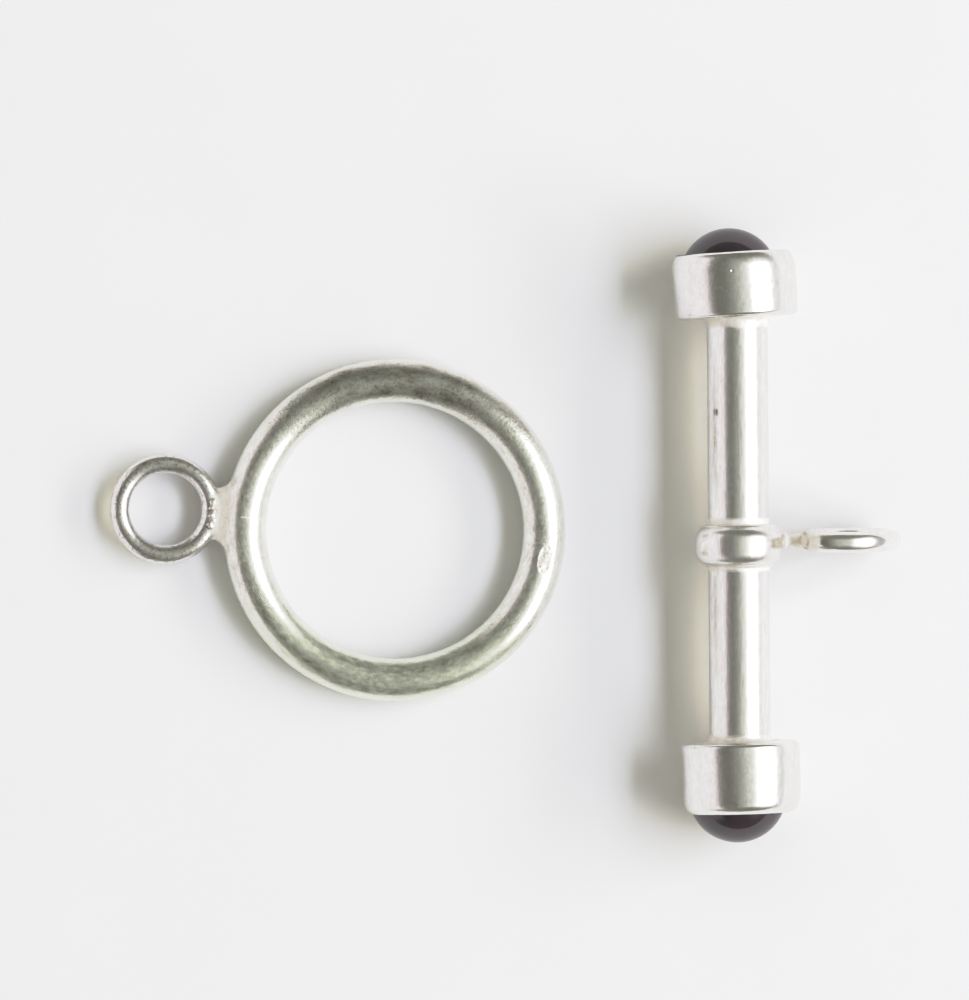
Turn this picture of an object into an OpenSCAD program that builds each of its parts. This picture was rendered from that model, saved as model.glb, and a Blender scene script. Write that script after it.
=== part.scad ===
// Toggle clasp, laid down in its two loose halves: a wire ring with a small eye, and a bar
// with a domed stone in a cup at each end and an eye at its middle.
// To fasten it, the bar goes through the ring end first and is then turned across it.
// Both halves lie on the plane z = 0, and the origin is under the middle of the pair.

/* [Ring] */
// Overall diameter of the ring
ring_d = 18; // [14:0.5:26]
// Thickness of the ring's round wire
ring_wire_d = 2.25; // [1.6:0.05:3.2]

/* [Eye of the ring] */
// Overall diameter of the ring's eye
ring_eye_d = 5.8; // [4.6:0.1:8]
// Thickness of the round wire of that eye
ring_eye_wire_d = 1; // [0.7:0.05:1.4]
// Turn of the eye round the ring, up from its left, in degrees
ring_eye_turn = 5.25; // [0:0.25:20]
// Distance between the two wires, which the solder fills
solder_bridge = 0.2; // [0.1:0.05:0.4]
// Thickness of the web of solder, as a share of the eye's wire
solder_web_share = 0.85; // [0.5:0.05:0.95]
// Radius of the hollow between the wires at each end of the web
solder_hollow_r = 0.45; // [0.3:0.05:0.7]

/* [Rod and collar] */
// Thickness of the round rod
rod_d = 3.2; // [2.4:0.1:4]
// Length of rod between the two cups
rod_l = 22.2; // [16:0.2:32]
// Overall diameter of the collar
collar_d = 4.6; // [4.2:0.1:5.6]
// Width of the collar along the rod
collar_w = 2.1; // [1.4:0.1:2.6]
// Distance of the collar from the rod's middle, towards the lower cup
collar_shift = 0.8; // [-3:0.1:3]

/* [Eye of the bar] */
// Overall diameter of the bar's eye
bar_eye_d = 5.3; // [4.2:0.1:6.4]
// Thickness of the round wire of that eye
bar_eye_wire_d = 1.1; // [0.7:0.05:1.4]
// Distance between the collar and the eye
neck_l = 0.95; // [0.6:0.05:2]
// Thickness of the neck
neck_d = 0.85; // [0.5:0.05:1.2]
// Diameter of the bead of solder at each end of the neck
neck_bead_d = 1.2; // [0.8:0.05:1.5]
// Distance of the eye from the collar's middle, towards the upper cup
bar_eye_shift = 0.2; // [-0.4:0.05:0.4]
// Lean of the eye from square to the rod, in degrees
bar_eye_lean = 2.5; // [-6:0.5:6]

/* [Stones] */
// Diameter of each domed stone
stone_d = 5.2; // [4.4:0.1:5.4]
// Height of each stone from its flat back to the top of its dome
stone_h = 3.3; // [2.8:0.1:3.9]
// Gap between a stone and its cup
stone_gap = 0.05; // [0.02:0.01:0.1]
// Distance of each stone to the left of its cup's middle, as a share of the metal beside it
stone_off_share = 0.5; // [0:0.05:0.6]

/* [Cups] */
// Overall diameter of the upper cup
upper_cup_d = 6.5; // [6:0.1:7.6]
// Length of the upper cup
upper_cup_l = 3.4; // [3:0.1:4.6]
// Height of the upper stone above its cup's lip
upper_stone_rise = 1.3; // [0.9:0.05:1.8]
// Lean of the upper cup to the left, in degrees
upper_cup_lean = 3; // [-4:0.5:4]
// Overall diameter of the lower cup
lower_cup_d = 6.2; // [6:0.1:7.6]
// Length of the lower cup
lower_cup_l = 3.75; // [3.2:0.05:4.6]
// Height of the lower stone above its cup's lip
lower_stone_rise = 1.55; // [1:0.05:1.8]
// Lean of the lower cup to the right, in degrees
lower_cup_lean = 1.5; // [-4:0.5:4]
// Rounding of a cup's edge at the rod
cup_edge_r = 0.3; // [0.1:0.05:0.6]
// Rounding of a cup's lip, where it is rubbed over the stone
cup_lip_r = 0.55; // [0.2:0.05:0.6]

/* [Where the halves lie] */
// Clear table between the ring and the wider of the two cups
halves_gap = 5.8; // [2:0.2:20]
// Distance of the ring's middle from the collar's, up the table
ring_shift = 0.75; // [-4:0.25:4]
// Turn of the bar on the table, to the left at its top, in degrees
bar_turn = 0.4; // [-5:0.1:5]

/* [Hidden] */
$fn = 96;

// Colours of polished silver and of dark garnet
silver = [0.80, 0.79, 0.77];
garnet = [0.20, 0.03, 0.06];

// Depth to which the cuts that hollow the web of solder run into the wires beside it
past = 0.03;

// Ring and its eye, with the circle that each wire's middle follows
ring_line_r = (ring_d - ring_wire_d) / 2;
ring_eye_line_r = (ring_eye_d - ring_eye_wire_d) / 2;
ring_eye_out = ring_d / 2 + solder_bridge + ring_eye_d / 2;

// Middle of the hollow at each end of the web, where a circle of the hollow's radius would
// touch both wires, given along and across the line from the ring's middle to the eye's
hollow_from_ring = ring_d / 2 + solder_hollow_r;
hollow_from_eye = ring_eye_d / 2 + solder_hollow_r;
hollow_along = (pow(ring_eye_out, 2) + pow(hollow_from_ring, 2) - pow(hollow_from_eye, 2))
    / (2 * ring_eye_out);
hollow_across = sqrt(pow(hollow_from_ring, 2) - pow(hollow_along, 2));

// Bar, measured along the rod from the collar's middle
upper_base = rod_l / 2 + collar_shift;
lower_base = rod_l / 2 - collar_shift;
stone_r = stone_d / 2;
bar_eye_line_r = (bar_eye_d - bar_eye_wire_d) / 2;
bar_eye_out = collar_d / 2 + neck_l + bar_eye_d / 2;

// Middle of each stone's dome above its cup's base, and to the left of its cup's middle
upper_dome_mid = upper_cup_l + upper_stone_rise - stone_r;
lower_dome_mid = lower_cup_l + lower_stone_rise - stone_r;
upper_stone_off = (upper_cup_d / 2 - stone_r - stone_gap) * stone_off_share;
lower_stone_off = (lower_cup_d / 2 - stone_r - stone_gap) * stone_off_share;

// The bar rests on one point of each cup, so its rod dips towards the narrower one
upper_touch = upper_base + cup_edge_r;
lower_touch = lower_base + lower_cup_l - cup_lip_r;
cup_step = (upper_cup_d - lower_cup_d) / 2;
bar_pitch = atan(cup_step / (upper_touch + lower_touch));
bar_h = (lower_cup_d / 2 + cup_step * lower_touch / (upper_touch + lower_touch)) * cos(bar_pitch);

// The bar rolls until its eye touches the table too
bar_eye_reach = bar_eye_line_r * cos(bar_eye_lean) + bar_eye_wire_d / 2;
bar_roll = asin((bar_h - bar_eye_reach) / bar_eye_out);

// Places of the halves, which put the origin under the middle of the pair
left_reach = ring_eye_out * cos(ring_eye_turn) + ring_eye_d / 2;
between = ring_d / 2 + halves_gap + max(upper_cup_d, lower_cup_d) / 2;
right_reach = bar_eye_out * cos(bar_roll) + bar_eye_d / 2;
ring_x = left_reach - (left_reach + between + right_reach) / 2;
bar_x = ring_x + between;
upper_turn = bar_turn + upper_cup_lean;
lower_turn = bar_turn + lower_cup_lean;
bar_top = upper_base * cos(bar_turn) + upper_dome_mid * cos(upper_turn)
    - upper_stone_off * sin(upper_turn) + stone_r;
bar_bottom = lower_base * cos(bar_turn) + lower_dome_mid * cos(lower_turn)
    + lower_stone_off * sin(lower_turn) + stone_r;
bar_y = (bar_bottom - bar_top) / 2;
ring_y = bar_y + ring_shift;

// Puts what follows where the bar lies, with the rod along Y and the eye towards +X
module in_bar() {
    translate([bar_x, bar_y, bar_h])
        rotate([bar_pitch, 0, bar_turn])
        rotate([0, bar_roll, 0])
        children();
}

// Puts what stands on z = 0 on the upper end of the rod
module at_upper_end() {
    translate([0, upper_base, 0])
        rotate([-90, 0, upper_cup_lean])
        children();
}

// Puts what stands on z = 0 on the lower end of the rod
module at_lower_end() {
    translate([0, -lower_base, 0])
        rotate([90, 0, lower_cup_lean])
        children();
}

// A ring of round wire, lying on its side round the Z axis
module wire_ring(line_r, wire_d) {
    rotate_extrude()
        translate([line_r, 0])
        circle(d = wire_d);
}

// Solder between the ring and its eye, with the line between their middles along -X
module solder_web() {
    web_h = ring_eye_wire_d * solder_web_share;
    translate([0, 0, -web_h / 2])
        linear_extrude(web_h)
        difference() {
            polygon([
                [0, 0],
                [-hollow_along, hollow_across],
                [-ring_eye_out, 0],
                [-hollow_along, -hollow_across]
            ]);
            circle(r = ring_line_r);
            translate([-ring_eye_out, 0])
                circle(r = ring_eye_line_r);
            for (side = [-1, 1])
                translate([-hollow_along, side * hollow_across])
                    circle(r = solder_hollow_r + past);
        }
}

// Half section of a cup that stands on its base, with both outer corners rounded
module cup_section(cup_d, cup_l) {
    cup_r = cup_d / 2;
    square([cup_r - cup_lip_r, cup_l]);
    translate([0, cup_edge_r])
        square([cup_r, cup_l - cup_edge_r - cup_lip_r]);
    square([cup_r - cup_edge_r, cup_l / 2]);
    translate([cup_r - cup_edge_r, cup_edge_r])
        circle(r = cup_edge_r);
    translate([cup_r - cup_lip_r, cup_l - cup_lip_r])
        circle(r = cup_lip_r);
}

// Stone with its flat back down, a dome over a straight girdle. The dome's middle is off to
// the left of the cup's and at dome_mid above its base, and the stone is larger all round
// by spare where it is used to cut the seat
module domed_stone(off, dome_mid, spare) {
    dome_r = stone_r + spare;
    back = dome_mid + stone_r - stone_h - spare;
    translate([-off, 0, 0])
        rotate_extrude()
        intersection() {
            union() {
                translate([0, dome_mid])
                    circle(r = dome_r);
                translate([0, back])
                    square([dome_r, dome_mid - back]);
            }
            translate([0, back])
                square([2 * dome_r, stone_h + 2 * spare]);
        }
}

// Cup with the seat for its stone, which the lip closes in over
module stone_cup(cup_d, cup_l, off, dome_mid) {
    difference() {
        rotate_extrude()
            cup_section(cup_d, cup_l);
        domed_stone(off, dome_mid, stone_gap);
    }
}

// Rod between the cups, let into each by half the metal under its stone
module rod() {
    upper_in = (upper_dome_mid + stone_r - stone_h - stone_gap) / 2;
    lower_in = (lower_dome_mid + stone_r - stone_h - stone_gap) / 2;
    translate([0, -lower_base - lower_in, 0])
        rotate([-90, 0, 0])
        cylinder(d = rod_d, h = rod_l + upper_in + lower_in);
}

// Rounded collar round the rod, with its inner side inside the rod
module collar() {
    rotate([90, 0, 0])
        rotate_extrude()
        intersection() {
            translate([(collar_d - collar_w) / 2, 0])
                circle(d = collar_w);
            translate([rod_d / 4, -collar_w])
                square([collar_d, 2 * collar_w]);
        }
}

// Short neck from the collar to the eye, with a bead of solder at each end
module neck() {
    collar_edge = collar_d / 2;
    eye_edge = bar_eye_out - bar_eye_d / 2;
    neck_end = eye_edge + bar_eye_wire_d / 2;
    translate([0, bar_eye_shift, 0])
        rotate([0, 90, 0]) {
            translate([0, 0, rod_d / 2])
                cylinder(d = neck_d, h = neck_end - rod_d / 2);
            for (bead_at = [collar_edge, eye_edge])
                translate([0, 0, bead_at])
                    sphere(d = neck_bead_d);
        }
}

// Eye of the bar, upright and square to the rod but for its lean
module bar_eye() {
    translate([bar_eye_out, bar_eye_shift, 0])
        rotate([90 + bar_eye_lean, 0, 0])
        wire_ring(bar_eye_line_r, bar_eye_wire_d);
}

// Ring half: ring, eye and the solder between them
module toggle_ring() {
    color(silver)
        translate([ring_x, ring_y, ring_wire_d / 2])
        rotate([0, 0, -ring_eye_turn]) {
            wire_ring(ring_line_r, ring_wire_d);
            translate([-ring_eye_out, 0, 0])
                wire_ring(ring_eye_line_r, ring_eye_wire_d);
            solder_web();
        }
}

// Bar half: rod, cups, collar, neck and eye, soldered into one
module toggle_bar() {
    color(silver)
        in_bar() {
            rod();
            at_upper_end()
                stone_cup(upper_cup_d, upper_cup_l, upper_stone_off, upper_dome_mid);
            at_lower_end()
                stone_cup(lower_cup_d, lower_cup_l, lower_stone_off, lower_dome_mid);
            collar();
            neck();
            bar_eye();
        }
}

// Stone of the upper cup
module upper_stone() {
    color(garnet)
        in_bar()
        at_upper_end()
        domed_stone(upper_stone_off, upper_dome_mid, 0);
}

// Stone of the lower cup
module lower_stone() {
    color(garnet)
        in_bar()
        at_lower_end()
        domed_stone(lower_stone_off, lower_dome_mid, 0);
}

toggle_ring();
toggle_bar();
upper_stone();
lower_stone();
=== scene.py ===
"""Toggle clasp of silver and garnet, laid down in its two loose halves on pale paper."""

import math

import bmesh
import bpy
import numpy as np
from mathutils import Matrix, Vector, noise


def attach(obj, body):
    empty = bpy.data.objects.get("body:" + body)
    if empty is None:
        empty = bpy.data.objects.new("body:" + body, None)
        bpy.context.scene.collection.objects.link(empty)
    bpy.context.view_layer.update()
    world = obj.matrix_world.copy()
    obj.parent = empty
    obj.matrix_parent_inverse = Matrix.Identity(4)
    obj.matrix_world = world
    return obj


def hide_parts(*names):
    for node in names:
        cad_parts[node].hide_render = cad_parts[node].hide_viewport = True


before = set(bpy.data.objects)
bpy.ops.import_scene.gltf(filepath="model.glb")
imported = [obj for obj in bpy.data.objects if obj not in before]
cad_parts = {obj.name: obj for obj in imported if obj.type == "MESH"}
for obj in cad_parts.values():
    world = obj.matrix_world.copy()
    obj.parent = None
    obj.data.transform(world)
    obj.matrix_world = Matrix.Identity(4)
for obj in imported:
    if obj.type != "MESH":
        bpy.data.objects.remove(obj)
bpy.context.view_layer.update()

# Sizes in millimetres, the same as the solids have. A LINE_R is the radius of the middle line of
# a wire ring, an OUT how far a middle is from its half's own middle, and turns, leans, the pitch
# and the roll are in degrees
MM = 0.001

RING_WIRE_R = 1.125
RING_LINE_R = 7.875
RING_EYE_LINE_R = 2.4
RING_EYE_WIRE_R = 0.5
RING_EYE_OUT = 12.1
RING_PLACE = (-5.8134, 0.2638, 1.125)
RING_EYE_TURN = 5.25

ROD_R = 1.6
COLLAR_R = 2.3
COLLAR_HALF_W = 1.06
UPPER_BASE = 11.9
LOWER_BASE = 10.3
BAR_PLACE = (12.2366, -0.4862, 3.1787)
BAR_TURN = 0.4
BAR_PITCH = 0.3344
BAR_ROLL = 5.1611

BAR_EYE_LINE_R = 2.1
BAR_EYE_WIRE_R = 0.55
BAR_EYE_OUT = 5.9
BAR_EYE_SHIFT = 0.2
BAR_EYE_LEAN = 2.5

STONE_R = 2.6
STONE_H = 3.3
STONE_GAP = 0.05
UPPER_CUP_L = 3.4
LOWER_CUP_L = 3.75
UPPER_DOME_MID = 2.1
LOWER_DOME_MID = 2.7
UPPER_STONE_OFF = 0.3
LOWER_STONE_OFF = 0.225
UPPER_CUP_LEAN = 3
LOWER_CUP_LEAN = 1.5


def turn(degrees, axis):
    return Matrix.Rotation(math.radians(degrees), 4, axis)


# Where each half lies, and where each end of the rod is on its half
RING_FRAME = Matrix.Translation(RING_PLACE) @ turn(-RING_EYE_TURN, "Z")
BAR_FRAME = (
    Matrix.Translation(BAR_PLACE) @ turn(BAR_TURN, "Z") @ turn(BAR_PITCH, "X") @ turn(BAR_ROLL, "Y")
)
ALONG_ROD = BAR_FRAME @ turn(-90, "X")
UPPER_END = BAR_FRAME @ Matrix.Translation((0, UPPER_BASE, 0)) @ turn(UPPER_CUP_LEAN, "Z") @ turn(-90, "X")
LOWER_END = BAR_FRAME @ Matrix.Translation((0, -LOWER_BASE, 0)) @ turn(LOWER_CUP_LEAN, "Z") @ turn(90, "X")
EYE_ON_BAR = Matrix.Translation((BAR_EYE_OUT, BAR_EYE_SHIFT, 0)) @ turn(90 + BAR_EYE_LEAN, "X")


# Colours and materials


def linear(colour):
    """The linear colour of an sRGB hex value such as "#F0EFEC"."""
    shares = [int(colour[i:i + 2], 16) / 255 for i in (1, 3, 5)]
    return [s / 12.92 if s <= 0.04045 else ((s + 0.055) / 1.055) ** 2.4 for s in shares] + [1]


def add(tree, kind, settings=None, **links):
    """A new node with its settings. Each link is an input's name or number, with a value or a socket."""
    node = tree.nodes.new(kind)
    for name, value in (settings or {}).items():
        setattr(node, name, value)
    for name, value in links.items():
        socket = node.inputs[int(name[1:])] if name[0] == "_" else node.inputs[name.replace("_", " ")]
        if isinstance(value, bpy.types.NodeSocket):
            tree.links.new(value, socket)
        else:
            socket.default_value = value
    return node


def new_material(name):
    material = bpy.data.materials.new(name)
    material.use_nodes = True
    material.node_tree.nodes.clear()
    return material, material.node_tree


def polished_silver(name, lines, line_depth, nick_depth, smoothest):
    """Sterling silver, polished by hand after soldering. Fine polish lines spread its reflections
    across the lines more than along them. Solder is lumpy and keeps the matte white skin of the
    pickle, a thin film of it stays in specks on what was polished less, pits are small and dark,
    and spots of tarnish are brown. lines gives the polish lines per millimetre across the wire,
    through it and along it, line_depth and nick_depth their depth and that of nicks in
    millimetres, and smoothest the roughness where the polish is best."""
    material, tree = new_material(name)
    place = add(tree, "ShaderNodeTexCoord").outputs["Object"]
    in_mm = add(tree, "ShaderNodeMapping", Vector=place, Scale=(1000, 1000, 1000)).outputs[0]
    drawn = add(tree, "ShaderNodeAttribute", {"attribute_name": "drawn"}).outputs["Vector"]
    lined = add(tree, "ShaderNodeMapping", Vector=drawn, Scale=lines).outputs[0]
    along = add(tree, "ShaderNodeAttribute", {"attribute_name": "along"}).outputs["Vector"]
    solder, pits, tarnish, worn, film = [
        add(tree, "ShaderNodeAttribute", {"attribute_name": label}).outputs["Fac"]
        for label in ("solder", "pits", "tarnish", "worn", "film")
    ]

    # Handling marks about 0.2 mm wide, and lines of the last polish, drawn coarser than the
    # real ones so that they show
    marks = add(tree, "ShaderNodeTexNoise", Vector=in_mm, Scale=4.5, Detail=5, Roughness=0.65).outputs[0]
    polish = add(tree, "ShaderNodeTexNoise", Vector=lined, Scale=1, Detail=4, Roughness=0.6).outputs[0]
    # Nicks about 0.1 mm wide and 0.8 mm apart
    spots = add(tree, "ShaderNodeTexVoronoi", Vector=in_mm, Scale=1.3, Randomness=1).outputs["Distance"]
    nicks = add(
        tree, "ShaderNodeMapRange", {"interpolation_type": "SMOOTHSTEP"},
        Value=spots, From_Min=0.02, From_Max=0.12, To_Min=1, To_Max=0,
    ).outputs[0]
    grain = add(tree, "ShaderNodeTexNoise", Vector=in_mm, Scale=6, Detail=4, Roughness=0.6).outputs[0]
    # Haze in short strokes about 0.2 mm wide, along the polish
    haze = add(tree, "ShaderNodeTexNoise", Vector=lined, Scale=1.1, Detail=5, Roughness=0.75).outputs[0]
    hazy = add(tree, "ShaderNodeMapRange", Value=haze, From_Min=0.4, From_Max=0.64).outputs[0]
    # Faint brown stains about 0.6 mm wide, drawn out along the wire, most where the metal is
    # filmed or tarnished
    stain = add(tree, "ShaderNodeTexNoise", Vector=lined, Scale=0.35, Detail=6, Roughness=0.75).outputs[0]
    stains = add(tree, "ShaderNodeMapRange", Value=stain, From_Min=0.44, From_Max=0.66).outputs[0]
    least = add(tree, "ShaderNodeMapRange", Value=film, To_Min=0.03, To_Max=0.25).outputs[0]
    most = add(
        tree, "ShaderNodeMath", {"operation": "MULTIPLY_ADD"}, _0=tarnish, _1=3, _2=least
    ).outputs[0]
    stained = add(tree, "ShaderNodeMath", {"operation": "MULTIPLY"}, _0=stains, _1=most).outputs[0]
    # Dark specks of about 0.1 mm in the pits
    speck = add(tree, "ShaderNodeMapRange", Value=grain, From_Min=0.52, From_Max=0.66).outputs[0]
    specks = add(tree, "ShaderNodeMath", {"operation": "MULTIPLY"}, _0=speck, _1=pits).outputs[0]
    # On the rod the tarnish amount also carries a line of painted shade, a stand-in for the mirrored
    # shadow of the card
    dirt = add(tree, "ShaderNodeMath", {"operation": "MAXIMUM"}, _0=specks, _1=tarnish).outputs[0]
    brown = add(
        tree, "ShaderNodeMath", {"operation": "ADD", "use_clamp": True}, _0=stained, _1=dirt
    ).outputs[0]

    # Roughness: the polish with its handling marks, and what wear, pits, solder and tarnish add
    dull = add(
        tree, "ShaderNodeMapRange",
        Value=marks, From_Min=0.35, From_Max=0.7, To_Min=smoothest, To_Max=smoothest + 0.05,
    ).outputs[0]
    for amount, rougher in ((worn, 0.16), (pits, 0.1), (solder, 0.35), (tarnish, 0.2)):
        dull = add(
            tree, "ShaderNodeMath", {"operation": "MULTIPLY_ADD"}, _0=amount, _1=rougher, _2=dull
        ).outputs[0]
    # Scuffs and solder cross the polish lines, and leave less of a way that they run
    crossed = add(tree, "ShaderNodeMath", {"operation": "MAXIMUM"}, _0=worn, _1=solder).outputs[0]
    one_way = add(
        tree, "ShaderNodeMapRange",
        Value=crossed, From_Min=0.45, From_Max=0.8, To_Min=0.75, To_Max=0.1,
    ).outputs[0]

    # The silver's colour, and over it the haze, the scuffs, the solder and the tarnish
    tone = linear("#FAF8F8")
    for amount, colour in (
        (hazy, "#EEEDE7"), (worn, "#EFF2E6"), (solder, "#F9F4EC"), (brown, "#6B5138"),
    ):
        tone = add(
            tree, "ShaderNodeMix", {"data_type": "RGBA"}, _0=amount, _6=tone, _7=linear(colour)
        ).outputs[2]

    # Polish lines, handling marks, nicks, and the lumps of solder and pits, over one another
    fine = add(tree, "ShaderNodeBump", Strength=1, Distance=line_depth * MM, Height=polish).outputs[0]
    handled = add(
        tree, "ShaderNodeBump", Strength=1, Distance=0.003 * MM, Height=marks, Normal=fine
    ).outputs[0]
    nicked = add(
        tree, "ShaderNodeBump", {"invert": True},
        Strength=1, Distance=nick_depth * MM, Height=nicks, Normal=handled,
    ).outputs[0]
    melt = add(tree, "ShaderNodeMath", {"operation": "MULTIPLY"}, _0=solder, _1=0.5).outputs[0]
    both = add(tree, "ShaderNodeMath", {"operation": "MAXIMUM"}, _0=pits, _1=melt).outputs[0]
    lumps = add(tree, "ShaderNodeMath", {"operation": "MULTIPLY"}, _0=grain, _1=both).outputs[0]
    lumpy = add(
        tree, "ShaderNodeBump", Strength=1, Distance=0.045 * MM, Height=lumps, Normal=nicked
    ).outputs[0]

    # Share of the surface that is bare metal: less in the film's specks, least on solder
    patchy = add(tree, "ShaderNodeMapRange", Value=hazy, To_Min=0.01, To_Max=0.28).outputs[0]
    filmed = add(tree, "ShaderNodeMath", {"operation": "MULTIPLY"}, _0=patchy, _1=film).outputs[0]
    white = add(
        tree, "ShaderNodeMath", {"operation": "MULTIPLY_ADD"}, _0=solder, _1=0.85, _2=filmed
    ).outputs[0]
    bare = add(tree, "ShaderNodeMapRange", Value=white, To_Min=1, To_Max=0).outputs[0]
    metal = add(
        tree, "ShaderNodeBsdfPrincipled",
        Base_Color=tone, Metallic=bare, Roughness=dull, Normal=lumpy,
        Anisotropic=one_way, Anisotropic_Rotation=0.25, Tangent=along,
    ).outputs[0]
    add(tree, "ShaderNodeOutputMaterial", Surface=metal)
    return material


def polished_garnet():
    """Garnet, cut as a plain dome and polished. So deep a red that it is black but for a plum tint,
    with a glassy surface that mirrors the paper at its rim."""
    material, tree = new_material("garnet, polished dome")
    place = add(tree, "ShaderNodeTexCoord").outputs["Object"]
    in_mm = add(tree, "ShaderNodeMapping", Vector=place, Scale=(1000, 1000, 1000)).outputs[0]
    # Clouds of deeper red inside the stone, about 1 mm across
    clouds = add(tree, "ShaderNodeTexNoise", Vector=in_mm, Scale=0.9, Detail=3, Roughness=0.6).outputs[0]
    depth = add(tree, "ShaderNodeMapRange", Value=clouds, From_Min=0.35, From_Max=0.65).outputs[0]
    body = add(
        tree, "ShaderNodeMix", {"data_type": "RGBA"}, _0=depth, _6=linear("#312F36"), _7=linear("#422F35")
    ).outputs[2]
    # Worn polish, with marks about 0.2 mm apart
    marks = add(tree, "ShaderNodeTexNoise", Vector=in_mm, Scale=5, Detail=3, Roughness=0.6).outputs[0]
    wear = add(tree, "ShaderNodeMapRange", Value=marks, To_Min=0.06, To_Max=0.16).outputs[0]
    worn = add(tree, "ShaderNodeBump", Strength=1, Distance=0.001 * MM, Height=marks).outputs[0]
    stone = add(
        tree, "ShaderNodeBsdfPrincipled", Base_Color=body, Roughness=wear, IOR=2.0, Normal=worn
    ).outputs[0]
    add(tree, "ShaderNodeOutputMaterial", Surface=stone)
    return material


def matt_paper():
    """Uncoated white card. It is matt and even, with a faint mottle where it isn't quite flat."""
    material, tree = new_material("card, uncoated white")
    place = add(tree, "ShaderNodeTexCoord").outputs["Object"]
    in_mm = add(tree, "ShaderNodeMapping", Vector=place, Scale=(1000, 1000, 1000)).outputs[0]
    mottle = add(tree, "ShaderNodeTexNoise", Vector=in_mm, Scale=0.12, Detail=4, Roughness=0.6).outputs[0]
    tone = add(
        tree, "ShaderNodeMix", {"data_type": "RGBA"}, _0=mottle, _6=linear("#E6E6E6"), _7=linear("#EAEAEA")
    ).outputs[2]
    card = add(
        tree, "ShaderNodeBsdfPrincipled", Base_Color=tone, Roughness=0.9, Specular_IOR_Level=0.1
    ).outputs[0]
    add(tree, "ShaderNodeOutputMaterial", Surface=card)
    return material


wire_silver = polished_silver(
    "sterling silver, polished wire", lines=(5, 5, 2.2), line_depth=0.005, nick_depth=0.004, smoothest=0.14
)
rod_silver = polished_silver(
    "sterling silver, drawn and polished rod",
    lines=(6, 6, 1.2), line_depth=0.004, nick_depth=0.0015, smoothest=0.22,
)
cup_silver = polished_silver(
    "sterling silver, filed and polished cups",
    lines=(4, 4, 2), line_depth=0.003, nick_depth=0.0005, smoothest=0.18,
)
garnet = polished_garnet()


# Shaping

# Steps round a rounded corner
ROUNDING_STEPS = 12
# Corners of a mesh closer than this are one
SAME = 0.0005
# How far apart a shape's slope is measured, and the least steepness that is divided by
PROBE = 0.001
LEAST_STEEP = 0.05
NEVER_ZERO = 1e-6


def half_section(points, roundings, longest):
    """A half section of straight lines through points of radius and height. roundings gives some
    points a radius, and no line stays longer than longest."""
    bm = bmesh.new()
    corners = [bm.verts.new((radius, 0, height)) for radius, height in points]
    for one, other in zip(corners, corners[1:]):
        bm.edges.new((one, other))
    for place, radius in roundings.items():
        bmesh.ops.bevel(
            bm, geom=[corners[place]], offset=radius, offset_type="OFFSET", affect="VERTICES",
            segments=ROUNDING_STEPS, profile=0.5, material=-1,
        )
    for edge in list(bm.edges):
        cuts = int(edge.calc_length() / longest)
        if cuts:
            bmesh.ops.subdivide_edges(bm, edges=[edge], cuts=cuts)
    return bm


def spun(bm, steps):
    """Spins the section round Z into a closed skin that faces outwards."""
    bmesh.ops.spin(
        bm, geom=bm.verts[:] + bm.edges[:], cent=(0, 0, 0), axis=(0, 0, 1), dvec=(0, 0, 0),
        angle=2 * math.pi, steps=steps, use_merge=True, use_duplicate=False,
    )
    bmesh.ops.remove_doubles(bm, verts=bm.verts[:], dist=SAME)
    bmesh.ops.recalc_face_normals(bm, faces=bm.faces[:])


def wire_ring(bm, line_r, wire_r, around, across, place):
    """Adds a ring of round wire round Z to bm, and puts it where place says."""
    section = bmesh.ops.create_circle(
        bm, segments=across, radius=wire_r, matrix=Matrix.Translation((line_r, 0, 0)) @ turn(90, "X")
    )["verts"]
    edges = list({edge for vert in section for edge in vert.link_edges})
    before = set(bm.verts) - set(section)
    bmesh.ops.spin(
        bm, geom=section + edges, cent=(0, 0, 0), axis=(0, 0, 1), dvec=(0, 0, 0),
        angle=2 * math.pi, steps=around, use_merge=True, use_duplicate=False,
    )
    bmesh.ops.transform(bm, matrix=place, verts=[vert for vert in bm.verts if vert not in before])


def uneven(bm, depth, length, seed):
    """Hand work is never quite true: moves the skin in and out by up to depth over about length."""
    bm.normal_update()
    moves = [
        vert.normal * depth * noise.noise(vert.co / length + Vector((seed, 2 * seed, 3 * seed)))
        for vert in bm.verts
    ]
    for vert, move in zip(bm.verts, moves):
        vert.co += move


def skinned(bm, voxel):
    """One skin round all that bm holds, of squares about as wide as voxel."""
    mesh = bpy.data.meshes.new("skin")
    bm.to_mesh(mesh)
    bm.free()
    holder = bpy.data.objects.new("skin", mesh)
    bpy.context.scene.collection.objects.link(holder)
    remesh = holder.modifiers.new("skin", "REMESH")
    remesh.mode = "VOXEL"
    remesh.voxel_size = voxel
    done = bpy.data.meshes.new_from_object(holder.evaluated_get(bpy.context.evaluated_depsgraph_get()))
    out = bmesh.new()
    out.from_mesh(done)
    bpy.data.objects.remove(holder)
    bpy.data.meshes.remove(mesh)
    bpy.data.meshes.remove(done)
    return out


def settle(bm, distance, rounds):
    """Moves every corner onto the surface where distance is nought."""
    points = np.array([vert.co[:] for vert in bm.verts])
    for _ in range(rounds):
        slopes = [
            (distance(points + PROBE * axis) - distance(points - PROBE * axis)) / (2 * PROBE)
            for axis in np.eye(3)
        ]
        slope = np.stack(slopes, axis=1)
        steepness = np.maximum((slope ** 2).sum(axis=1), LEAST_STEEP)
        points -= (distance(points) / steepness)[:, None] * slope
    for vert, point in zip(bm.verts, points):
        vert.co = point


def even_out(bm, distance, rounds):
    """Spaces the corners evenly over the surface."""
    for _ in range(rounds):
        bmesh.ops.smooth_vert(
            bm, verts=bm.verts[:], factor=0.5, use_axis_x=True, use_axis_y=True, use_axis_z=True
        )
        settle(bm, distance, 1)
    settle(bm, distance, 3)


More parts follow.
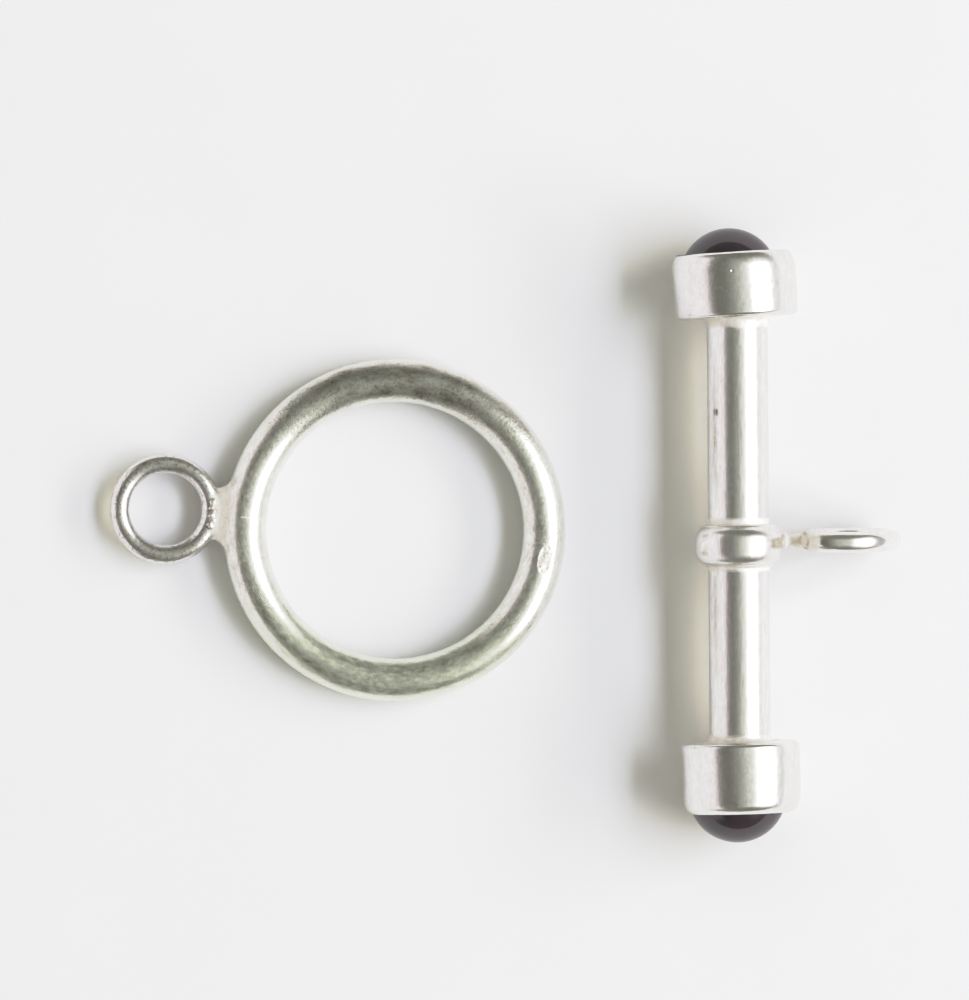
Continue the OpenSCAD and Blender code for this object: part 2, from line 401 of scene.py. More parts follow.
def melted(one, other, run):
    """Distance to two shapes with solder run between them over a width of about run."""
    share = np.clip(0.5 + 0.5 * (other - one) / run, 0, 1)
    return other * (1 - share) + one * share - run * share * (1 - share)


def from_ring(points, line_r, wire_r):
    """Distance of points from a ring of round wire round Z."""
    out = np.hypot(points[:, 0], points[:, 1]) - line_r
    return np.hypot(out, points[:, 2]) - wire_r


def from_bead(points, middle, reach):
    """Distance of points, close enough, from a bead with these half widths."""
    scaled = (points - np.array(middle)) / np.array(reach)
    size = np.linalg.norm(scaled, axis=1)
    return (size - 1) * size / np.maximum(np.linalg.norm(scaled / np.array(reach), axis=1), NEVER_ZERO)


def from_rod(points, start, end, radius):
    """Distance of points from a round-ended rod between start and end."""
    start, end = np.array(start, float), np.array(end, float)
    way = end - start
    share = np.clip((points - start) @ way / (way @ way), 0, 1)
    return np.linalg.norm(points - start - share[:, None] * way, axis=1) - radius


def into(points, place):
    """Points given in a frame, seen from the frame at place in it."""
    inverse = np.array(place.inverted())
    return points @ inverse[:3, :3].T + inverse[:3, 3]


def finished(bm, name, place, material, node, shares=None, drawn=None, along=None):
    """Makes bm a piece of the clasp: placed, in metres, smooth, and standing for the CAD node.
    shares gives named amounts from 0 to 1 over the skin, from each corner's own place. drawn turns
    a place into millimetres across, through and along the wire, and along gives the wire's way
    there, for the polish lines."""
    mesh = bpy.data.meshes.new(name)
    values = {
        label: [amount(vert.co) for vert in bm.verts] for label, amount in (shares or {}).items()
    }
    lines = [number for vert in bm.verts for number in (drawn(vert.co) if drawn else vert.co)]
    turned = place.to_3x3()
    ways = [
        number for vert in bm.verts
        for number in turned @ (along(vert.co) if along else Vector((0, 0, 1)))
    ]
    bmesh.ops.transform(bm, matrix=Matrix.Scale(MM, 4) @ place, verts=bm.verts[:])
    for face in bm.faces:
        face.smooth = True
    bm.to_mesh(mesh)
    bm.free()
    for label, amounts in values.items():
        mesh.attributes.new(label, "FLOAT", "POINT").data.foreach_set("value", amounts)
    mesh.attributes.new("drawn", "FLOAT_VECTOR", "POINT").data.foreach_set("vector", lines)
    mesh.attributes.new("along", "FLOAT_VECTOR", "POINT").data.foreach_set("vector", ways)
    mesh.materials.append(material)
    piece = bpy.data.objects.new(name, mesh)
    bpy.context.scene.collection.objects.link(piece)
    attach(piece, "root")
    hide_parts(node)


def fade(value, full, none):
    """1 up to full, 0 from none on, and smooth between them."""
    share = min(max((none - value) / (none - full), 0), 1)
    return share * share * (3 - 2 * share)


# Ring half: the ring, its eye, and solder melted in between them

# Lumps of solder on the eye, each an angle from the eye's middle, a distance from it, a height,
# and half widths outwards, along the wire and up
SOLDER_LUMPS = (
    (13.0, 2.55, 0.44, 0.17, 0.22, 0.17),
    (6.5, 2.43, 0.48, 0.14, 0.10, 0.12),
    (2.0, 2.58, 0.46, 0.12, 0.13, 0.14),
    (-3.0, 2.46, 0.48, 0.15, 0.10, 0.13),
    (-8.0, 2.60, 0.45, 0.12, 0.12, 0.13),
    (-14.5, 2.52, 0.45, 0.18, 0.17, 0.16),
)
# The lumps are rough by this, with so many bumps to a millimetre, as far from them as LUMP_EDGE
LUMP_ROUGH = 0.06
LUMP_BUMPS = 6
LUMP_EDGE = 0.02
LUMP_RUN = 0.05
# Where the lumps are on the eye, and how far round there the skin is finer
LUMPS_OUT = 2.5
LUMPS_UP = 0.4
LUMPS_REACH = 0.95
# Left of this is the ring's eye, and right of it the ring
EYE_EDGE = -9.2
EYE_ON_RING = Matrix.Translation((-RING_EYE_OUT, 0, 0))
# Web of solder between the ring and its eye, a rounded bar across the gap
WEB_OUT = 9.17
WEB_HALF_L = 0.96
WEB_R = 0.34
# How wide the solder runs between the web and the eye, and between the web and the ring
WEB_RUN = 0.4
RING_RUN = 0.9
# Half widths of the white skin on the web's solder
WEB_WHITE = (0.6, 2.1)

# Blank oval recess on the ring, at an angle, a distance and a height from its middle
RECESS_TURN = -5.8
RECESS_OUT = 8.05
RECESS_UP = 0.8
RECESS_HALF_L = 0.7
RECESS_HALF_W = 0.33
RECESS_DEPTH = 0.05
RECESS_ROUGH = 0.045
RECESS_BUMPS = 4.5
RECESS_REACH = 1.05
# Places lower than this on the ring's wire aren't on its top
TOP_FROM = 0.3
# Soldered joint of the ring's own wire
SEAM_TURN = 180.6
SEAM_HALF_L = 0.24


def from_lumps(on_eye):
    """Distance from the nearest lump of solder."""
    return np.min([
        from_bead(into(on_eye, turn(angle, "Z") @ Matrix.Translation((out, 0, height))), (0, 0, 0), reach)
        for angle, out, height, *reach in SOLDER_LUMPS
    ], axis=0)


def lump_gap(place):
    """Distance of one place on the ring half from the lumps."""
    return from_lumps(into(np.array([place[:]]), EYE_ON_RING))[0]


def from_ring_half(points):
    """Distance from the whole ring half."""
    on_eye = into(points, EYE_ON_RING)
    web = from_rod(points, (-WEB_OUT, -WEB_HALF_L, 0), (-WEB_OUT, WEB_HALF_L, 0), WEB_R)
    ring = melted(from_ring(points, RING_LINE_R, RING_WIRE_R), web, RING_RUN)
    both = melted(ring, from_ring(on_eye, RING_EYE_LINE_R, RING_EYE_WIRE_R), WEB_RUN)
    return melted(both, from_lumps(on_eye), LUMP_RUN)


def in_recess(place):
    """Share of the recess's depth at a place on the ring: 1 in it, 0 outside."""
    if place.z < TOP_FROM:
        return 0
    angle = math.radians(RECESS_TURN)
    out = place.x * math.cos(angle) + place.y * math.sin(angle) - RECESS_OUT
    along = place.y * math.cos(angle) - place.x * math.sin(angle)
    return fade(math.hypot(out / RECESS_HALF_W, along / RECESS_HALF_L), full=0.8, none=1.12)


def finer(bm, chosen):
    """Halves the squares whose corners are all chosen."""
    edges = [edge for edge in bm.edges if all(chosen(vert.co) for vert in edge.verts)]
    bmesh.ops.subdivide_edges(bm, edges=edges, cuts=1, use_grid_fill=True)


def near_recess(place):
    angle = math.radians(RECESS_TURN)
    middle = Vector((RECESS_OUT * math.cos(angle), RECESS_OUT * math.sin(angle), RECESS_UP))
    return (place - middle).length < RECESS_REACH and place.z > TOP_FROM


def near_lumps(place):
    return (place - Vector((LUMPS_OUT - RING_EYE_OUT, 0, LUMPS_UP))).length < LUMPS_REACH


ring_bm = bmesh.new()
wire_ring(ring_bm, RING_LINE_R, RING_WIRE_R, around=240, across=48, place=Matrix())
wire_ring(ring_bm, RING_EYE_LINE_R, RING_EYE_WIRE_R, around=120, across=32, place=EYE_ON_RING)
# The web, roughly, which is settled onto its true shape below
bmesh.ops.create_uvsphere(
    ring_bm, u_segments=24, v_segments=16, radius=1,
    matrix=Matrix.Translation((-WEB_OUT, 0, 0)) @ Matrix.Diagonal((0.6, 1.2, 0.35, 1)),
)
bmesh.ops.recalc_face_normals(ring_bm, faces=ring_bm.faces[:])
ring_bm = skinned(ring_bm, voxel=0.09)
settle(ring_bm, from_ring_half, rounds=4)
even_out(ring_bm, from_ring_half, rounds=6)
finer(ring_bm, near_lumps)
finer(ring_bm, near_recess)
settle(ring_bm, from_ring_half, rounds=3)
uneven(ring_bm, depth=0.012, length=2.6, seed=1)
ring_bm.normal_update()
for vert in ring_bm.verts:
    if near_lumps(vert.co) and lump_gap(vert.co) < LUMP_EDGE:
        vert.co += vert.normal * LUMP_ROUGH * noise.noise(vert.co * LUMP_BUMPS)
for vert in ring_bm.verts:
    low = RECESS_DEPTH + RECESS_ROUGH * noise.noise(vert.co * RECESS_BUMPS)
    vert.co.z -= in_recess(vert.co) * low


def ring_solder(place):
    """Solder all over the web, in the ring's seam, and white in the recess."""
    from_web = math.hypot((place.x + WEB_OUT) / WEB_WHITE[0], place.y / WEB_WHITE[1])
    joint = 0.85 * fade(from_web, full=0.45, none=1.1)
    around = math.radians(math.degrees(math.atan2(place.y, place.x)) % 360 - SEAM_TURN) * RING_LINE_R
    across = (math.hypot(place.x, place.y) - RING_LINE_R) / SEAM_HALF_L
    seam = 0.7 * fade(abs(around), full=0.01, none=0.06) * fade(abs(across), full=0.7, none=1.1)
    return max(joint, seam if place.z > 0 else 0, 0.6 * in_recess(place))


def on_top(place):
    """1 on the upper side of the ring's wire, which was rubbed most, and 0 on its flanks."""
    return fade(-place.z, full=-0.85, none=-0.3)


def ring_pits(place):
    """Pits on the eye, in the recess and on the ring's far side."""
    eye_share = fade(place.x, full=-9.8, none=EYE_EDGE)
    on_ring = (0.12 + 0.25 * fade(-place.y, full=-7.5, none=-2)) * on_top(place)
    return max(0.35 * eye_share, on_ring, 0.6 * in_recess(place))


def ring_tarnish(place):
    """Dirt in the recess, in the web's valley and in the grooves round the lumps of solder, and a
    brown tint on top of the ring's far side."""
    groove = 0
    if near_lumps(place) and place.z > 0.2:
        valley = fade(abs(place.x + WEB_OUT), full=0.02, none=0.1) * fade(abs(place.y), full=0.7, none=1.1)
        groove = max(0.16 * fade(abs(lump_gap(place) - 0.03), full=0.01, none=0.04), 0.03 * valley)
    low = 0.2 + 0.7 * noise.noise(place * RECESS_BUMPS)
    in_low = in_recess(place) * min(max(low, 0), 1)
    far_side = 0.12 * on_top(place) * fade(-place.y, full=-7.2, none=-5.2)
    return max(0.16 * in_low, groove, far_side if place.x > EYE_EDGE else 0.02)


def ring_worn(place):
    """The ring is duller where it has been scuffed, along the side away from the eye's lean."""
    return 0 if place.x < EYE_EDGE else 0.45 + 0.55 * fade(place.y, full=-6.5, none=-3)


def ring_film(place):
    """The white film stays all round the ring but at its far side, and less on its eye."""
    if place.x < EYE_EDGE:
        return 0.45
    return (0.3 + 0.7 * fade(place.y, full=1, none=7)) * (0.3 + 0.7 * on_top(place))


def ring_drawn(place):
    """The place in millimetres across the wire, up and along it."""
    on_eye = place.x < EYE_EDGE
    centre_x, line_r = (-RING_EYE_OUT, RING_EYE_LINE_R) if on_eye else (0, RING_LINE_R)
    out = math.hypot(place.x - centre_x, place.y)
    return (out - line_r, place.z, math.atan2(place.y, centre_x - place.x) * line_r)


def ring_along(place):
    """The wire's way at the place."""
    centre_x = -RING_EYE_OUT if place.x < EYE_EDGE else 0
    return Vector((-place.y, place.x - centre_x, 0)).normalized()


finished(
    ring_bm, "ring_and_eye", RING_FRAME, wire_silver, "toggle_ring",
    shares={
        "solder": ring_solder, "pits": ring_pits, "tarnish": ring_tarnish,
        "worn": ring_worn, "film": ring_film,
    },
    drawn=ring_drawn, along=ring_along,
)


# Rod with its collar, and solder run into the corners

# The rod's ends flare out into the cups, by FLARE_OUT, from FLARE_START before to FLARE_IN after
# where they begin
FLARE_OUT = 0.5
FLARE_IN = 0.28
FLARE_START = 0.04
FLARE_ROUNDING = 0.25
# Roundings of the collar's edges and of the solder in its corners, and the crown of its face
COLLAR_ROUNDING = 0.78
COLLAR_SOLDER = 0.24
COLLAR_CROWN = 0.1
# The solder is lumpy by this, over large and small lumps, so many to a millimetre
SOLDER_LUMPY = 0.04
LARGE_LUMPS = 2.4
SMALL_LUMPS = 5.5
# Spot of tarnish on the rod, and a line of painted shade that runs down from it, standing in for the
# shadowed card that the rod's left flank mirrors
SPOT = Vector((-1.29, 6.92, 0.95))
STREAK_END = 1.3
ROD_FILM = 0.4

rod_bm = half_section(
    (
        (0, -LOWER_BASE - FLARE_IN),
        (ROD_R + FLARE_OUT, -LOWER_BASE - FLARE_IN),
        (ROD_R, -LOWER_BASE + FLARE_START),
        (ROD_R, -COLLAR_HALF_W),
        (COLLAR_R, -COLLAR_HALF_W),
        (COLLAR_R, COLLAR_HALF_W),
        (ROD_R, COLLAR_HALF_W),
        (ROD_R, UPPER_BASE - FLARE_START),
        (ROD_R + FLARE_OUT, UPPER_BASE + FLARE_IN),
        (0, UPPER_BASE + FLARE_IN),
    ),
    roundings={
        2: FLARE_ROUNDING, 3: COLLAR_SOLDER, 4: COLLAR_ROUNDING,
        5: COLLAR_ROUNDING, 6: COLLAR_SOLDER, 7: FLARE_ROUNDING,
    },
    longest=0.16,
)
# The collar's face falls away from its middle
for vert in rod_bm.verts:
    if vert.co.x > ROD_R + 0.3 and abs(vert.co.z) < COLLAR_HALF_W:
        vert.co.x -= COLLAR_CROWN * (vert.co.z / COLLAR_HALF_W) ** 2
spun(rod_bm, steps=160)
uneven(rod_bm, depth=0.012, length=2.2, seed=4)


def rod_solder(place):
    """Solder in the corners at the collar and at both cups, with a slightly ragged edge."""
    at_collar = fade(abs(abs(place.z) - COLLAR_HALF_W - 0.1), full=0.08, none=0.26)
    ragged = 0.12 * noise.noise(place * 1.6)
    at_upper = fade(UPPER_BASE - place.z + ragged, full=0.3, none=0.6)
    at_lower = fade(LOWER_BASE + place.z + ragged, full=0.15, none=0.4)
    return max(0.45 * at_collar, 0.6 * at_upper, 0.5 * at_lower)


rod_bm.normal_update()
for vert in rod_bm.verts:
    share = rod_solder(vert.co)
    if share > 0:
        large = noise.noise(vert.co * LARGE_LUMPS + Vector((5, 5, 5)))
        small = 0.5 * noise.noise(vert.co * SMALL_LUMPS)
        vert.co += vert.normal * SOLDER_LUMPY * share * (large + small)


def rod_tarnish(place):
    """A spot of tarnish on the rod, and a line of painted shade down from it: a painted reflection of the
    shadowed card on the rod's left flank.
    """
    on_bar = Vector((place.x, place.z, -place.y))
    spot = 0.4 * fade((on_bar - SPOT).length, full=0.08, none=0.24)
    if on_bar.z <= 0 or on_bar.y >= SPOT.y:
        return spot
    # Painted shade: a thin dark line for the shadowed card at the table line, mirrored low on the rod's
    # left flank
    streak = fade(abs(on_bar.x - SPOT.x), full=0.02, none=0.09)
    fading = fade(SPOT.y - on_bar.y, full=0.2, none=SPOT.y - STREAK_END)
    return max(spot, 0.1 * streak * fading)


finished(
    rod_bm, "rod_and_collar", ALONG_ROD, rod_silver, "toggle_bar",
    shares={"solder": rod_solder, "tarnish": rod_tarnish, "film": lambda place: ROD_FILM},
)


# Cups, with the lip rubbed over the stone

# Marks on top of the cups: a start and an end in the clasp's plane, half a width, a depth and how
# brown it is. They are a ding, a scratch and three dirty specks
CUP_MARKS = (
    (11.79, 13.75, 11.79, 13.75, 0.09, 0.035, 0),
    (11.05, 12.86, 11.57, 12.76, 0.07, 0.02, 0),
    (9.53, 11.70, 9.53, 11.74, 0.07, 0.006, 0.05),
    (11.75, -13.96, 11.95, -13.99, 0.15, 0.012, 0.12),
    (9.84, -11.29, 9.86, -11.27, 0.07, 0.006, 0.04),
)
# How far round the marks the skin is finer, once and twice
FINER_REACH = (0.2, 0.1)
# Only places this far above the rod's middle can carry a mark
MARKS_UP = 0.5
# The opening in the lip widens by this, down to this far under its edge
LIP_FLARE = 0.08
LIP_H = 0.3
CUP_FILM = 0.25


def from_mark(spot, mark):
    """Distance of a spot, seen from above, from a mark's line."""
    start, end = Vector(mark[:2]), Vector(mark[2:4])
    way = end - start
    share = min(max((spot - start).dot(way) / max(way.length_squared, NEVER_ZERO), 0), 1)
    return (spot - start - share * way).length


def cup(name, end, outline, roundings, hole_r, hole_off, length, dome_mid, shear, seed):
    """A cup on the rod's end. outline gives the radius and height of its outer corners, hole_r
    and hole_off the opening in its lip, and shear how far its wall slants to the left."""

    def at_marks(place, reach):
        """How far a place is into each mark, widened by reach: 1 in its middle, 0 outside."""
        seen = end @ place
        if seen.z < BAR_PLACE[2] + MARKS_UP:
            return [0] * len(CUP_MARKS)
        return [
            fade(from_mark(seen.xy, mark) - reach, full=0.3 * mark[4], none=mark[4])
            for mark in CUP_MARKS
        ]

    back = dome_mid + STONE_R - STONE_H - STONE_GAP
    seat_r = STONE_R + STONE_GAP
    inside = (
        (hole_r, length), (hole_r + LIP_FLARE, length - LIP_H), (seat_r, dome_mid), (seat_r, back),
    )
    bm = half_section(((0, 0),) + outline + inside + ((0, back),), roundings, longest=0.14)
    spun(bm, steps=176)
    # The opening and the seat inside the lip's edge are off the cup's middle
    lip_r = outline[-1][0] - roundings[len(outline)]
    for vert in bm.verts:
        if vert.co.z > 0.2 and math.hypot(vert.co.x, vert.co.y) < lip_r - 0.01:
            vert.co.x -= hole_off
    for vert in bm.verts:
        vert.co.x -= shear * vert.co.z / length
    uneven(bm, depth=0.02, length=2.4, seed=seed)
    for reach in FINER_REACH:
        finer(bm, lambda place: max(at_marks(place, reach)) > 0)
    bm.normal_update()
    for vert in bm.verts:
        depth = max(share * mark[5] for share, mark in zip(at_marks(vert.co, 0), CUP_MARKS))
        vert.co -= depth * vert.normal

    def solder(place):
        at_base = fade(place.z, full=0.02, none=0.12)
        return 0.4 * at_base * fade(math.hypot(place.x, place.y), full=2.0, none=2.4)

    def tarnish(place):
        return max(share * mark[6] for share, mark in zip(at_marks(place, 0.02), CUP_MARKS))

    finished(
        bm, name, end, cup_silver, "toggle_bar",
        shares={"solder": solder, "tarnish": tarnish, "film": lambda place: CUP_FILM},
    )


cup(
    "upper_cup", UPPER_END,
    outline=((3.17, 0), (3.27, 1.8), (3.24, UPPER_CUP_L - 0.52), (2.95, UPPER_CUP_L)),
    roundings={1: 0.3, 2: 0.6, 3: 0.36, 4: 0.16},
    hole_r=2.31, hole_off=UPPER_STONE_OFF,
    length=UPPER_CUP_L, dome_mid=UPPER_DOME_MID, shear=0.08, seed=7,
)
cup(
    "lower_cup", LOWER_END,
    outline=((3.1, 0), (3.1, 2.5), (2.98, LOWER_CUP_L)),
    roundings={1: 0.3, 2: 0.6, 3: 0.6},
    hole_r=2.34, hole_off=0.14,
    length=LOWER_CUP_L, dome_mid=LOWER_DOME_MID, shear=0, seed=11,
)

# Burr on the lower lip, a sliver of silver that was bent over the stone, and its half widths
BURR_TURN = -66
BURR_OUT = 2.47
BURR_UP = 0.03
BURR_HALVES = (0.29, 0.10, 0.12)

burr_bm = bmesh.new()
bmesh.ops.create_icosphere(
    burr_bm, subdivisions=4, radius=1, matrix=Matrix.Diagonal((*BURR_HALVES, 1))
)
uneven(burr_bm, depth=0.06, length=0.3, seed=3)
on_lip = turn(BURR_TURN, "Z") @ Matrix.Translation((BURR_OUT, 0, LOWER_CUP_L + BURR_UP)) @ turn(90, "Z")
finished(burr_bm, "lip_burr", LOWER_END @ on_lip, cup_silver, "toggle_bar")


# Eye of the bar, on a neck of solder

# Beads of solder, each a distance along the neck, half its length and its radius
NECK_BEADS = ((2.42, 0.22, 0.43), (3.08, 0.3, 0.38), (3.72, 0.3, 0.40))
# Grooves with dirt in them, along the neck
NECK_GROOVES = (2.16, 2.66, 3.42)
NECK_R = 0.26
NECK_START = 1.9
NECK_END = 3.9
# How wide the solder runs between the beads, and between the neck and the eye
BEAD_RUN = 0.1
NECK_RUN = 0.14
BAR_EYE_FILM = 0.5
# The eye was bent by hand. Its upper side leans towards the bar by this at the top, and its
# shoulder there is squarer than a circle, which would have a power of 2
EYE_LEAN = 0.6
SHOULDER_POWER = 2.4


def from_bar_eye(points):
    """Distance from the eye with its neck."""
    eye = from_ring(into(points, EYE_ON_BAR), BAR_EYE_LINE_R, BAR_EYE_WIRE_R)
    neck = from_rod(points, (NECK_START, BAR_EYE_SHIFT, 0), (NECK_END, BAR_EYE_SHIFT, 0), NECK_R)
    for out, deep, wide in NECK_BEADS:
        bead = from_bead(points, (out, BAR_EYE_SHIFT, 0), (deep, wide, wide))
        neck = melted(neck, bead, BEAD_RUN)
    return melted(eye, neck, NECK_RUN)


eye_bm = bmesh.new()
wire_ring(eye_bm, BAR_EYE_LINE_R, BAR_EYE_WIRE_R, around=120, across=32, place=EYE_ON_BAR)
# The neck, roughly, which is settled onto its true shape below
bmesh.ops.create_uvsphere(
    eye_bm, u_segments=32, v_segments=24, radius=1,
    matrix=Matrix.Translation((2.8, BAR_EYE_SHIFT, 0)) @ Matrix.Diagonal((1.1, 0.4, 0.4, 1)),
)
bmesh.ops.recalc_face_normals(eye_bm, faces=eye_bm.faces[:])
eye_bm = skinned(eye_bm, voxel=0.06)
settle(eye_bm, from_bar_eye, rounds=4)
even_out(eye_bm, from_bar_eye, rounds=6)
uneven(eye_bm, depth=0.014, length=0.9, seed=21)
eye_r = BAR_EYE_LINE_R + BAR_EYE_WIRE_R
for vert in eye_bm.verts:
    out, up = vert.co.x - BAR_EYE_OUT, vert.co.z
    if up > 0 and out > -eye_r:
        if out < 0:
            from_middle = math.hypot(out, up)
            power_sum = (-out / from_middle) ** SHOULDER_POWER + (up / from_middle) ** SHOULDER_POWER
            wider = power_sum ** (-1 / SHOULDER_POWER)
            out, up = wider * out, wider * up
        vert.co.x = BAR_EYE_OUT + out - EYE_LEAN * (up / eye_r) ** 2
        vert.co.z = up


def neck_solder(place):
    """Solder up to the eye, whitest on the middle bead."""
    middle = 0.3 * fade(abs(place.x - NECK_BEADS[1][0]), full=0.15, none=0.3)
    return (0.65 + middle) * fade(place.x, full=3.85, none=4.08)


def neck_tarnish(place):
    """Dirt in the grooves between the beads."""
    return 0.14 * max(fade(abs(place.x - groove), full=0.02, none=0.1) for groove in NECK_GROOVES)


def bar_eye_drawn(place):
    """The place in millimetres across the eye's wire, through it and along it."""
    out = math.hypot(place.x - BAR_EYE_OUT, place.z)
    return (out - BAR_EYE_LINE_R, place.y, math.atan2(place.z, BAR_EYE_OUT - place.x) * BAR_EYE_LINE_R)


def bar_eye_along(place):
    """The neck's or the wire's way at the place."""
    if place.x < BAR_EYE_OUT - BAR_EYE_LINE_R:
        return Vector((1, 0, 0))
    return Vector((-place.z, 0, place.x - BAR_EYE_OUT)).normalized()


finished(
    eye_bm, "bar_eye_and_neck", BAR_FRAME, wire_silver, "toggle_bar",
    shares={"solder": neck_solder, "tarnish": neck_tarnish, "film": lambda place: BAR_EYE_FILM},
    drawn=bar_eye_drawn, along=bar_eye_along,
)


# Stones

STONE_EDGE_R = 0.1


def stone(name, end, off, dome_mid, node):
    """A domed stone, with a flat back and a straight girdle."""
    back = dome_mid + STONE_R - STONE_H
    top = dome_mid + STONE_R
    bm = half_section(
        ((0, back), (STONE_R, back), (STONE_R, top), (0, top)),
        roundings={1: STONE_EDGE_R, 2: STONE_R - SAME}, longest=0.5,
    )
    spun(bm, steps=128)
    uneven(bm, depth=0.006, length=1.5, seed=31)
    finished(bm, name, end @ Matrix.Translation((-off, 0, 0)), garnet, node)


stone("upper_garnet", UPPER_END, UPPER_STONE_OFF, UPPER_DOME_MID, "upper_stone")
stone("lower_garnet", LOWER_END, LOWER_STONE_OFF, LOWER_DOME_MID, "lower_stone")


# Table, light and camera

# Half the table's width, and the window's width and how far away it is, all in metres
TABLE_HALF_W = 3
WINDOW_W = 1
WINDOW_AWAY = 1

floor_bm = bmesh.new()
bmesh.ops.create_grid(floor_bm, x_segments=8, y_segments=8, size=TABLE_HALF_W)
floor_mesh = bpy.data.meshes.new("card")
floor_bm.to_mesh(floor_mesh)
floor_bm.free()
floor_mesh.materials.append(matt_paper())
floor = bpy.data.objects.new("card", floor_mesh)
bpy.context.scene.collection.objects.link(floor)


def panel(name, height, tall, radiance, colour):
    """A soft light panel at the right that faces the clasp, at a height above the table in degrees.
    tall is in metres, and radiance is how bright its face looks."""
    light = bpy.data.lights.new(name, "AREA")
    light.shape = "RECTANGLE"
    light.size = WINDOW_W
    light.size_y = tall
    light.energy = radiance * math.pi * WINDOW_W * tall
    light.color = linear(colour)[:3]
    lamp = bpy.data.objects.new(name, light)
    there = turn(-height, "Y") @ Matrix.Translation((WINDOW_AWAY, 0, 0))
    lamp.matrix_world = there @ turn(90, "Y") @ turn(90, "Z")
    lamp.visible_camera = False
    lamp.visible_glossy = False
    bpy.context.scene.collection.objects.link(lamp)


# A tall window at the right, warmer at its foot. What the metal mirrors of it is in the room's
# tones below, so that its edges are soft
panel("window top", height=51.5, tall=0.26, radiance=7.4, colour="#E6E9FF")
panel("window foot", height=27, tall=0.20, radiance=8.5, colour="#FFF9EE")

# What the metal mirrors, by the angle from straight up towards the right, in degrees: a pale
# wall low at the left, a dark room over it, and the window
ROOM_TONES = (
    (-90, "#CFCCCE"),
    (-54, "#D8D1D5"),
    (-47, "#65655D"),
    (-22, "#65655D"),
    (-8, "#7F807A"),
    (2, "#989A94"),
    (12, "#A6A8A3"),
    (25, "#ACADA9"),
    (45, "#FFFFFF"),
    (62, "#FFFFFF"),
    (74, "#9C9A9B"),
    (90, "#9C9A9B"),
)
# The room above and below the clasp, and its floor line
ROOM_SIDES = "#6C6C64"
ROOM_LOW = "#7C7D76"
# The room's light on what isn't polished, and what shows past the table's edge
ROOM_GLOW = "#A5A49B"
ROOM_BEHIND = "#D6D6D4"
# The tones begin to turn into those of the sides here, at the left and at the right, and have
# turned at ROOM_END
ROOM_HALF_W = (0.64, 0.38)
ROOM_END = 0.85
ROOM_LIGHT = 1.25
# The window is brighter than the room by this, between these angles
WINDOW_LIGHT = 2.5
WINDOW_START = (26, 46)
WINDOW_END = (56, 70)
WINDOW_HALF_W = (0.36, 0.54)
# The window's middle is this far down the photo from the clasp
WINDOW_DOWN = 0.05

world = bpy.data.worlds.new("room")
world.use_nodes = True
bpy.context.scene.world = world
room = world.node_tree
room.nodes.clear()
rays = add(room, "ShaderNodeLightPath")
way = add(room, "ShaderNodeTexCoord").outputs["Generated"]
sides = add(room, "ShaderNodeSeparateXYZ", Vector=way)
lean = add(
    room, "ShaderNodeMath", {"operation": "ARCTAN2"}, _0=sides.outputs["X"], _1=sides.outputs["Z"]
).outputs[0]
on_ramp = add(
    room, "ShaderNodeMapRange", Value=lean, From_Min=-math.pi / 2, From_Max=math.pi / 2
).outputs[0]
ramp = add(room, "ShaderNodeValToRGB", Fac=on_ramp)
stops = ramp.color_ramp.elements
while len(stops) < len(ROOM_TONES):
    stops.new(1)
for stop, (angle, tone) in zip(stops, ROOM_TONES):
    stop.position = (angle + 90) / 180
    stop.color = linear(tone)
middle = add(
    room, "ShaderNodeMath", {"operation": "ADD"}, _0=sides.outputs["Y"], _1=WINDOW_DOWN
).outputs[0]
up_or_down = add(room, "ShaderNodeMath", {"operation": "ABSOLUTE"}, _0=middle).outputs[0]
# Up and down the photo the wall at the left ends sharply, and the light at the right fades
narrowest = add(
    room, "ShaderNodeMapRange",
    Value=sides.outputs["X"], From_Min=-0.3, From_Max=0.3,
    To_Min=ROOM_HALF_W[0], To_Max=ROOM_HALF_W[1],
).outputs[0]
at_side = add(
    room, "ShaderNodeMapRange", {"interpolation_type": "SMOOTHSTEP"},
    Value=up_or_down, From_Min=narrowest, From_Max=ROOM_END,
).outputs[0]
low = add(room, "ShaderNodeMapRange", Value=sides.outputs["Z"], From_Min=0.35, From_Max=0).outputs[0]
side_tone = add(
    room, "ShaderNodeMix", {"data_type": "RGBA"}, _0=low, _6=linear(ROOM_SIDES), _7=linear(ROOM_LOW)
).outputs[2]
mirrored = add(
    room, "ShaderNodeMix", {"data_type": "RGBA"}, _0=at_side, _6=ramp.outputs[0], _7=side_tone
).outputs[2]
seen_in_metal = add(
    room, "ShaderNodeMix", {"data_type": "RGBA"},
    _0=rays.outputs["Is Glossy Ray"], _6=linear(ROOM_GLOW), _7=mirrored,
).outputs[2]
seen = add(
    room, "ShaderNodeMix", {"data_type": "RGBA"},
    _0=rays.outputs["Is Camera Ray"], _6=seen_in_metal, _7=linear(ROOM_BEHIND),
).outputs[2]
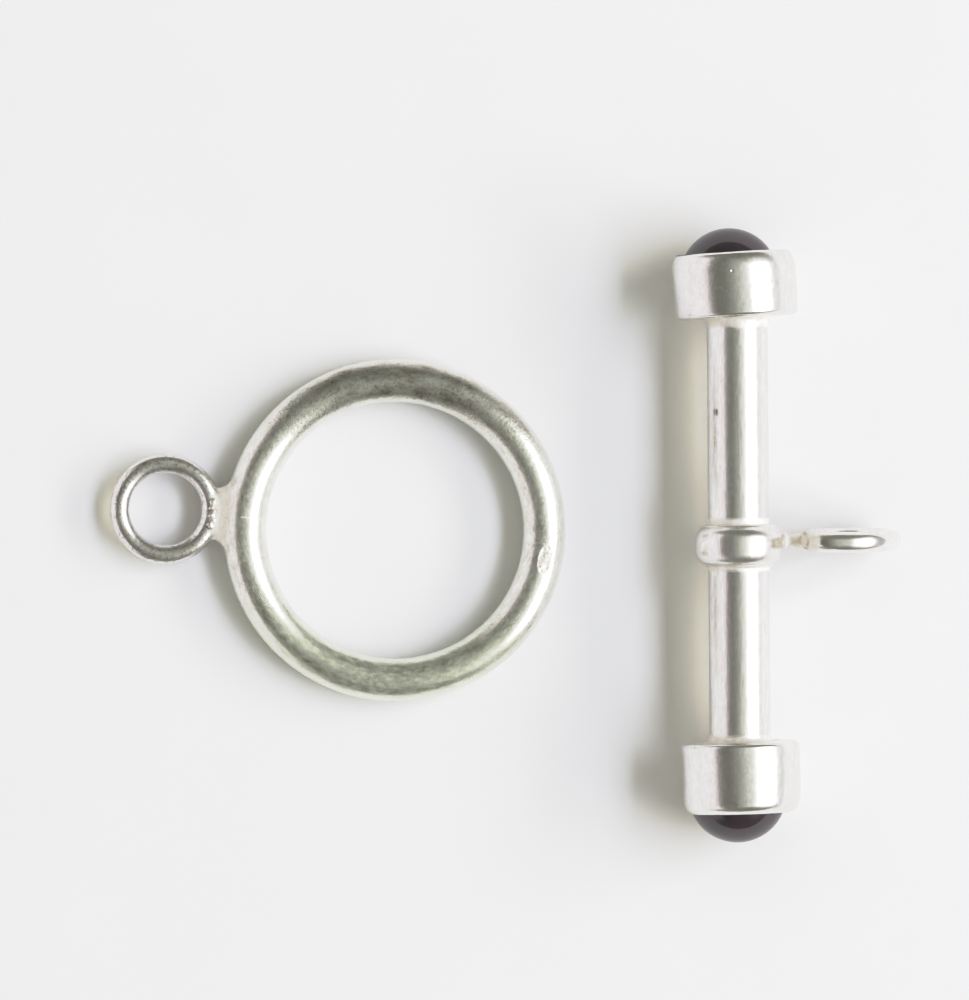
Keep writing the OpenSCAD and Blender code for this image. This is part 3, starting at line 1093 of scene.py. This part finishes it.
begun = add(
    room, "ShaderNodeMapRange", {"interpolation_type": "SMOOTHSTEP"}, Value=lean,
    From_Min=math.radians(WINDOW_START[0]), From_Max=math.radians(WINDOW_START[1]),
    To_Max=WINDOW_LIGHT,
).outputs[0]
over = add(
    room, "ShaderNodeMapRange", {"interpolation_type": "SMOOTHSTEP"}, Value=lean,
    From_Min=math.radians(WINDOW_END[0]), From_Max=math.radians(WINDOW_END[1]), To_Min=1, To_Max=0,
).outputs[0]
beside = add(
    room, "ShaderNodeMapRange", {"interpolation_type": "SMOOTHSTEP"}, Value=up_or_down,
    From_Min=WINDOW_HALF_W[0], From_Max=WINDOW_HALF_W[1], To_Min=1, To_Max=0,
).outputs[0]
open_part = add(room, "ShaderNodeMath", {"operation": "MULTIPLY"}, _0=over, _1=beside).outputs[0]
window = add(room, "ShaderNodeMath", {"operation": "MULTIPLY"}, _0=begun, _1=open_part).outputs[0]
in_metal = add(
    room, "ShaderNodeMath", {"operation": "MULTIPLY"}, _0=window, _1=rays.outputs["Is Glossy Ray"]
).outputs[0]
strength = add(room, "ShaderNodeMath", {"operation": "ADD"}, _0=in_metal, _1=ROOM_LIGHT).outputs[0]
air = add(room, "ShaderNodeBackground", Color=seen, Strength=strength).outputs[0]
add(room, "ShaderNodeOutputWorld", Surface=air)

# Straight down from 400 mm, with 52.77 mm of table from the top of the frame to its bottom
CAMERA_OVER = (-1.073, 1.853, 400)
FRAME_TALL = 52.77
SENSOR_W = 36

camera_data = bpy.data.cameras.new("camera")
camera_data.sensor_width = SENSOR_W
camera_data.lens = SENSOR_W * CAMERA_OVER[2] / FRAME_TALL
camera_data.clip_start = 0.01
camera_data.clip_end = 10
camera = bpy.data.objects.new("camera", camera_data)
camera.location = Vector(CAMERA_OVER) * MM
bpy.context.scene.collection.objects.link(camera)
bpy.context.scene.camera = camera

# A plain photographic print: paper near white, with shadows kept
PRINT_CURVE = ((0.2, 0.17), (0.38, 0.39), (0.54, 0.67), (0.8, 0.875))
view = bpy.context.scene.view_settings
view.view_transform = "Standard"
view.use_curve_mapping = True
curve = view.curve_mapping.curves[3]
for before, after in PRINT_CURVE:
    curve.points.new(before, after)
view.curve_mapping.update()
